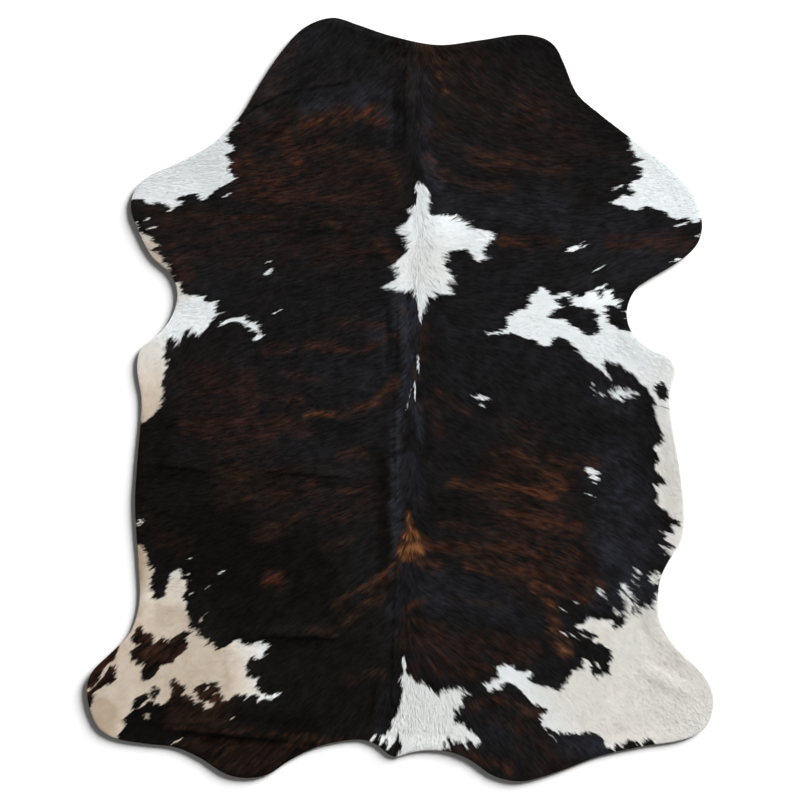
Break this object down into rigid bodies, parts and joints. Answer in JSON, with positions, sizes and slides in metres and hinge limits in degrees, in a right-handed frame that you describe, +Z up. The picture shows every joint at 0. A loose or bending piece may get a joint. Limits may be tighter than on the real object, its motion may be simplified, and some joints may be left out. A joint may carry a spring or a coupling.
{
  "type": "cowhide rug",
  "caption": "Hair-on cowhide floor rug cut to the hide's own outline, laid flat, dark coat with pale patches.",
  "frame": {"origin": "on the floor, below the middle of the hide's bounding box", "axes": "+Y along the spine towards the neck, +X to the right seen from above with the neck up, +Z up out of the hair side"},
  "size_m": [1.8789, 2.2897, 0.0142],
  "materials": {
    "hide": "short laid hair, satin"
  },
  "bodies": {
    "root": {"hide": "hide"}
  },
  "joints": []
}
